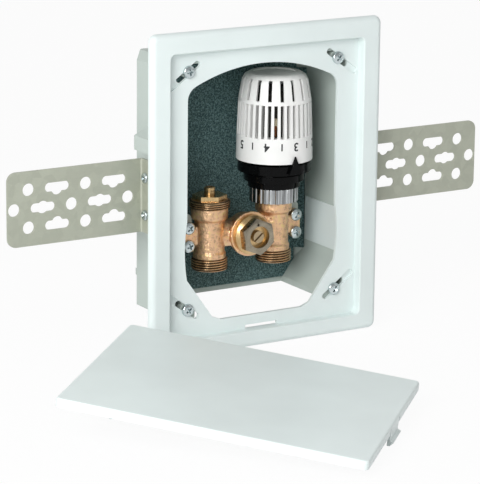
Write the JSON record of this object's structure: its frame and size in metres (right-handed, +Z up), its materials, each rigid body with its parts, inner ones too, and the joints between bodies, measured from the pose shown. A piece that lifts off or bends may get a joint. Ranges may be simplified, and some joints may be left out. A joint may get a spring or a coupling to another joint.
{
  "type": "return temperature limiter valve",
  "caption": "Flush wall box with a twin-leg valve, shut-off insert, vent plug and slotted regulator head behind an adjustable front frame, with its cover plate taken off.",
  "frame": {"origin": "middle of the wall box's rear face", "axes": "+X to the right seen from the room, +Y into the wall, +Z up"},
  "size_m": [0.4359, 0.3512, 0.232],
  "materials": {
    "box_plastic": "fine moulded texture",
    "insulation_foam": "speckled foam",
    "galvanised_sheet": "galvanised",
    "zinc_screws": "zinc plated",
    "white_plastic": "satin white",
    "cast_gunmetal": "as cast",
    "turned_brass": "machined",
    "seal_rubber": "matt",
    "spring_steel": "drawn wire",
    "copper_wire": "drawn wire",
    "chrome_plate": "polished",
    "black_plastic": "gloss",
    "cap_plastic": "satin",
    "cream_plastic": "satin",
    "sensor_black": "blackened"
  },
  "bodies": {
    "housing": {"wall_box": "box_plastic", "back_insulation": "insulation_foam", "mounting_rail_left": "galvanised_sheet", "mounting_rail_right": "galvanised_sheet", "rail_screws": "zinc_screws", "cover_plate": "white_plastic", "valve_body": "cast_gunmetal", "ear_screws": "zinc_screws", "shutoff_bonnet": "turned_brass", "vent_plug": "turned_brass", "insert_bonnet": "turned_brass", "insert_gland": "turned_brass", "return_spring": "spring_steel", "knurled_nut": "chrome_plate", "head_base": "black_plastic"},
    "frame_screws": {"frame_screws": "zinc_screws"},
    "front_frame": {"front_frame": "white_plastic"},
    "shutoff_spindle": {"shutoff_spindle": "turned_brass"},
    "shutoff_cone": {"shutoff_cone": "turned_brass"},
    "vent_screw": {"vent_screw": "turned_brass"},
    "sensor_unit": {"sensor_carrier": "sensor_black", "sensor_cartridge": "sensor_black", "overtravel_spring": "copper_wire"},
    "head_cap": {"head_cap": "cap_plastic", "cap_disc": "cap_plastic"},
    "valve_pin": {"insert_pin": "turned_brass", "valve_disc": "seal_rubber", "push_rod": "cream_plastic"}
  },
  "joints": [
    {"name": "frame_depth", "type": "slide", "parent": "housing", "child": "frame_screws", "axis": [0, -1, 0], "range_m": [0, 0.03]},
    {"name": "frame_swivel", "type": "hinge", "parent": "frame_screws", "child": "front_frame", "pos_m": [0, -0.062, 0], "axis": [0, 1, 0], "range_deg": [-4.5, 4.5]},
    {"name": "head_turn", "type": "hinge", "parent": "sensor_unit", "child": "head_cap", "pos_m": [0.027, -0.0335, 0.03], "axis": [0, 0, 1], "range_deg": [-138, 92]},
    {"name": "set_travel", "type": "slide", "parent": "housing", "child": "sensor_unit", "axis": [0, 0, 1], "range_m": [-0.00145, 0.00096]},
    {"name": "valve_stroke", "type": "slide", "parent": "sensor_unit", "child": "valve_pin", "axis": [0, 0, -1], "range_m": [0, 0.002], "stiffness_N_per_m": 200, "springref_m": -0.002, "deforming": ["return_spring"]},
    {"name": "shutoff_turn", "type": "hinge", "parent": "housing", "child": "shutoff_spindle", "pos_m": [-0.027, -0.0335, -0.01], "axis": [0, 0, 1], "range_deg": [-900, 0]},
    {"name": "shutoff_lift", "type": "slide", "parent": "housing", "child": "shutoff_cone", "axis": [0, 0, 1], "range_m": [-0.00374, 0]},
    {"name": "vent_turn", "type": "hinge", "parent": "housing", "child": "vent_screw", "pos_m": [0, -0.0465, -0.0405], "axis": [0, -1, 0], "range_deg": [0, 360]}
  ],
  "couplings": [
    {"joint": "head_turn", "follows": "set_travel", "rad_per_m": 1666.7},
    {"joint": "shutoff_turn", "follows": "shutoff_lift", "rad_per_m": 4188.8}
  ]
}
